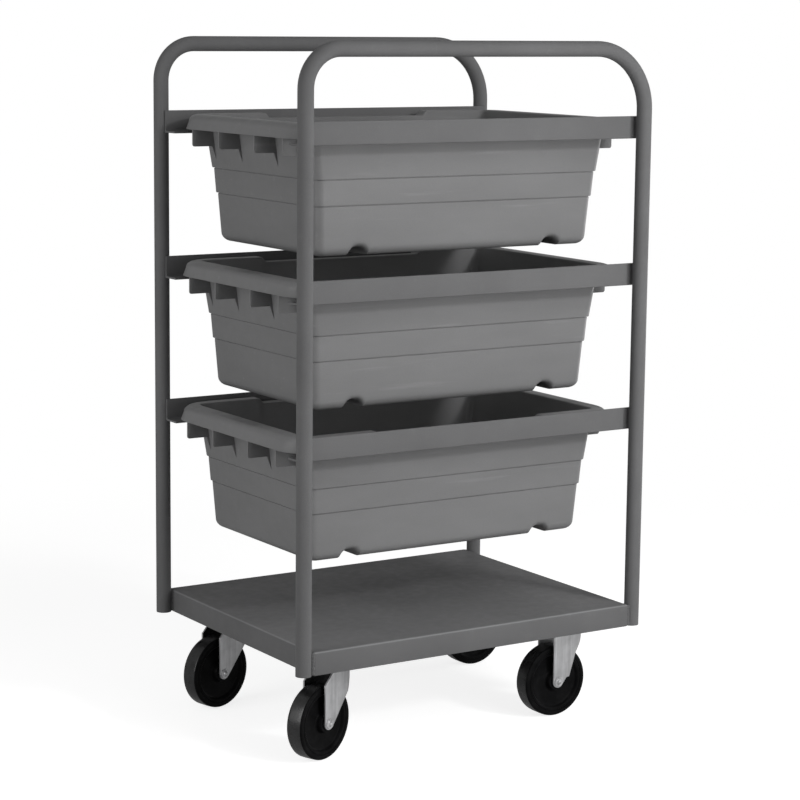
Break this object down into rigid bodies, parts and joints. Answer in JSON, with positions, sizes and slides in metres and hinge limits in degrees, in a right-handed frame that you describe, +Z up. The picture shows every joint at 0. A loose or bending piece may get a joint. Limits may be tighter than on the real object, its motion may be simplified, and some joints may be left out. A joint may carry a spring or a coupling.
{
  "type": "tub rack cart",
  "caption": "Tall rolling rack of bent tube with angle rails that carry pull-out tubs one above the other, a flanged deck below, two swivel and two rigid casters.",
  "frame": {"origin": "on the floor under the middle of the cart", "axes": "+X along the rails, away from the swivel casters; +Z up; -Y is the side nearest the camera"},
  "size_m": [0.6942, 0.5212, 1.179],
  "materials": {
    "frame_paint": "satin grey powder coat",
    "tub_plastic": "grey moulded plastic, fine grain",
    "zinc_plate": "zinc plated",
    "bright_steel": "bright ground steel",
    "wheel_rubber": "black hard rubber, moulded"
  },
  "bodies": {
    "frame": {"base_deck": "frame_paint", "front_bottom_rail": "frame_paint", "front_middle_rail": "frame_paint", "front_top_rail": "frame_paint", "front_u_frame": "frame_paint", "left_cross_channel": "frame_paint", "rear_bottom_rail": "frame_paint", "rear_middle_rail": "frame_paint", "rear_top_rail": "frame_paint", "rear_u_frame": "frame_paint", "right_cross_channel": "frame_paint", "rigid_axle_front": "zinc_plate", "rigid_axle_nut_front": "zinc_plate", "rigid_axle_nut_rear": "zinc_plate", "rigid_axle_rear": "zinc_plate", "rigid_axle_sleeve_front": "bright_steel", "rigid_axle_sleeve_rear": "bright_steel", "rigid_bolt_front_1": "zinc_plate", "rigid_bolt_front_2": "zinc_plate", "rigid_bolt_front_3": "zinc_plate", "rigid_bolt_front_4": "zinc_plate", "rigid_bolt_rear_1": "zinc_plate", "rigid_bolt_rear_2": "zinc_plate", "rigid_bolt_rear_3": "zinc_plate", "rigid_bolt_rear_4": "zinc_plate", "rigid_fork_front": "zinc_plate", "rigid_fork_rear": "zinc_plate", "swivel_bolt_front_1": "zinc_plate", "swivel_bolt_front_2": "zinc_plate", "swivel_bolt_front_3": "zinc_plate", "swivel_bolt_front_4": "zinc_plate", "swivel_bolt_rear_1": "zinc_plate", "swivel_bolt_rear_2": "zinc_plate", "swivel_bolt_rear_3": "zinc_plate", "swivel_bolt_rear_4": "zinc_plate", "swivel_kingpin_front": "zinc_plate", "swivel_kingpin_nut_front": "zinc_plate", "swivel_kingpin_nut_rear": "zinc_plate", "swivel_kingpin_rear": "zinc_plate", "swivel_plate_front": "zinc_plate", "swivel_plate_rear": "zinc_plate", "swivel_race_front": "zinc_plate", "swivel_race_rear": "zinc_plate"},
    "swivel_fork_front": {"swivel_fork_front": "zinc_plate", "swivel_axle_front": "zinc_plate", "swivel_axle_nut_front": "zinc_plate", "swivel_axle_sleeve_front": "bright_steel", "swivel_ball_ring_front": "bright_steel"},
    "swivel_wheel_front": {"swivel_wheel_front": "wheel_rubber"},
    "rigid_wheel_front": {"rigid_wheel_front": "wheel_rubber"},
    "swivel_fork_rear": {"swivel_fork_rear": "zinc_plate", "swivel_axle_rear": "zinc_plate", "swivel_axle_nut_rear": "zinc_plate", "swivel_axle_sleeve_rear": "bright_steel", "swivel_ball_ring_rear": "bright_steel"},
    "swivel_wheel_rear": {"swivel_wheel_rear": "wheel_rubber"},
    "rigid_wheel_rear": {"rigid_wheel_rear": "wheel_rubber"},
    "bottom_tub": {"bottom_tub": "tub_plastic"},
    "middle_tub": {"middle_tub": "tub_plastic"},
    "top_tub": {"top_tub": "tub_plastic"}
  },
  "joints": [
    {"name": "front_swivel", "type": "hinge", "parent": "frame", "child": "swivel_fork_front", "pos_m": [-0.2335, -0.177, 0.15], "axis": [0, 0, 1], "continuous": true},
    {"name": "rear_swivel", "type": "hinge", "parent": "frame", "child": "swivel_fork_rear", "pos_m": [-0.2335, 0.177, 0.15], "axis": [0, 0, 1], "continuous": true},
    {"name": "front_swivel_wheel_spin", "type": "hinge", "parent": "swivel_fork_front", "child": "swivel_wheel_front", "pos_m": [-0.27215, -0.19067, 0.06319], "axis": [-0.3335, 0.9428, 0], "continuous": true},
    {"name": "rear_swivel_wheel_spin", "type": "hinge", "parent": "swivel_fork_rear", "child": "swivel_wheel_rear", "pos_m": [-0.27322, 0.16686, 0.06319], "axis": [-0.2474, 0.9689, 0], "continuous": true},
    {"name": "front_rigid_wheel_spin", "type": "hinge", "parent": "frame", "child": "rigid_wheel_front", "pos_m": [0.212, -0.177, 0.06319], "axis": [0, 1, 0], "continuous": true},
    {"name": "rear_rigid_wheel_spin", "type": "hinge", "parent": "frame", "child": "rigid_wheel_rear", "pos_m": [0.281, 0.177, 0.06319], "axis": [0, 1, 0], "continuous": true},
    {"name": "bottom_tub_slide", "type": "slide", "parent": "frame", "child": "bottom_tub", "axis": [1, 0, 0], "range_m": [-0.62, 0.62]},
    {"name": "middle_tub_slide", "type": "slide", "parent": "frame", "child": "middle_tub", "axis": [1, 0, 0], "range_m": [-0.62, 0.62]},
    {"name": "top_tub_slide", "type": "slide", "parent": "frame", "child": "top_tub", "axis": [1, 0, 0], "range_m": [-0.62, 0.62]}
  ]
}
